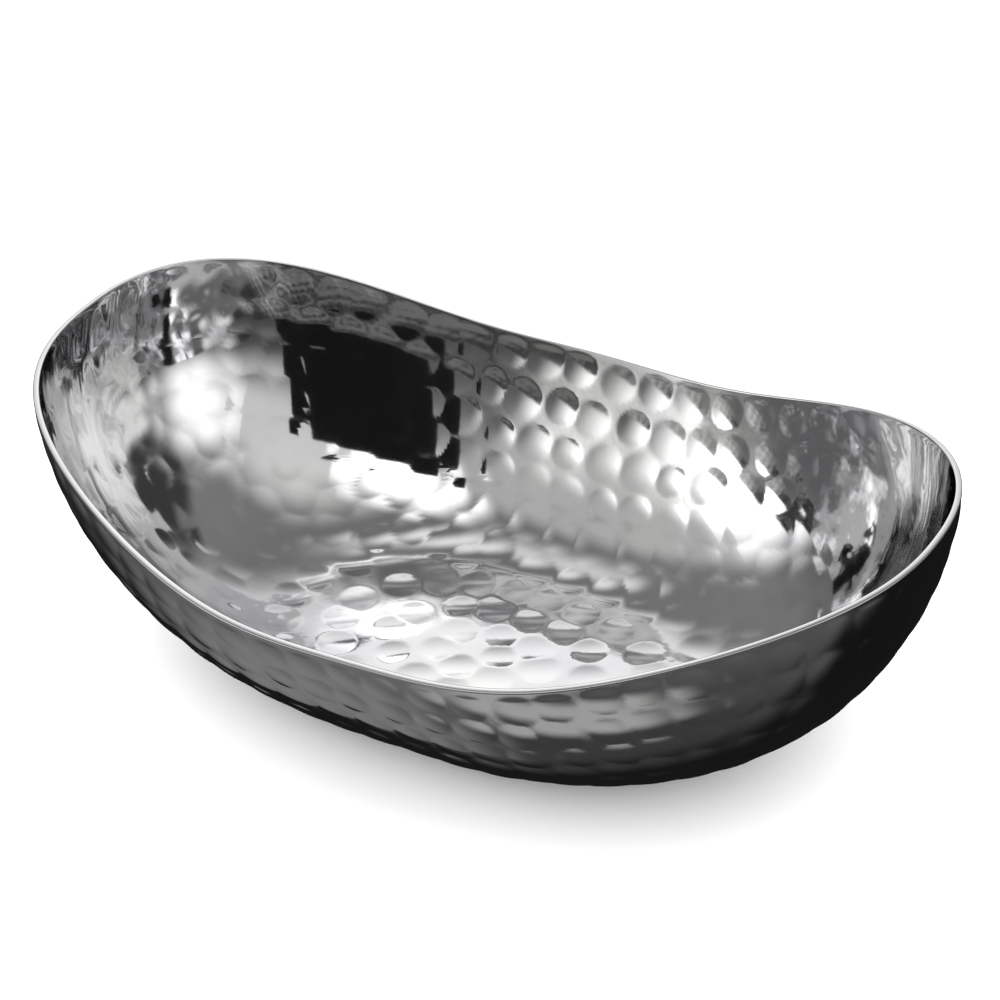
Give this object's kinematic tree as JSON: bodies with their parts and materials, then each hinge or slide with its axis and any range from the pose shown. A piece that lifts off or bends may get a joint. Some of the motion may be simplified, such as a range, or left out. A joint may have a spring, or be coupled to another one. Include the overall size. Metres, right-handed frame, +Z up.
{
  "type": "hammered oval serving bowl",
  "caption": "Shallow oval metal serving bowl with a hammered surface and a rim that climbs to both ends, standing on a flat oval base.",
  "frame": {"origin": "middle of the flat underside", "axes": "+X along the bowl's length, +Y across it, +Z up"},
  "size_m": [0.3, 0.1878, 0.095],
  "materials": {
    "hammered_steel": "mirror-polished, hammered by hand in close rows, with a smooth band under the rim"
  },
  "bodies": {
    "root": {"bowl_shell": "hammered_steel"}
  },
  "joints": []
}
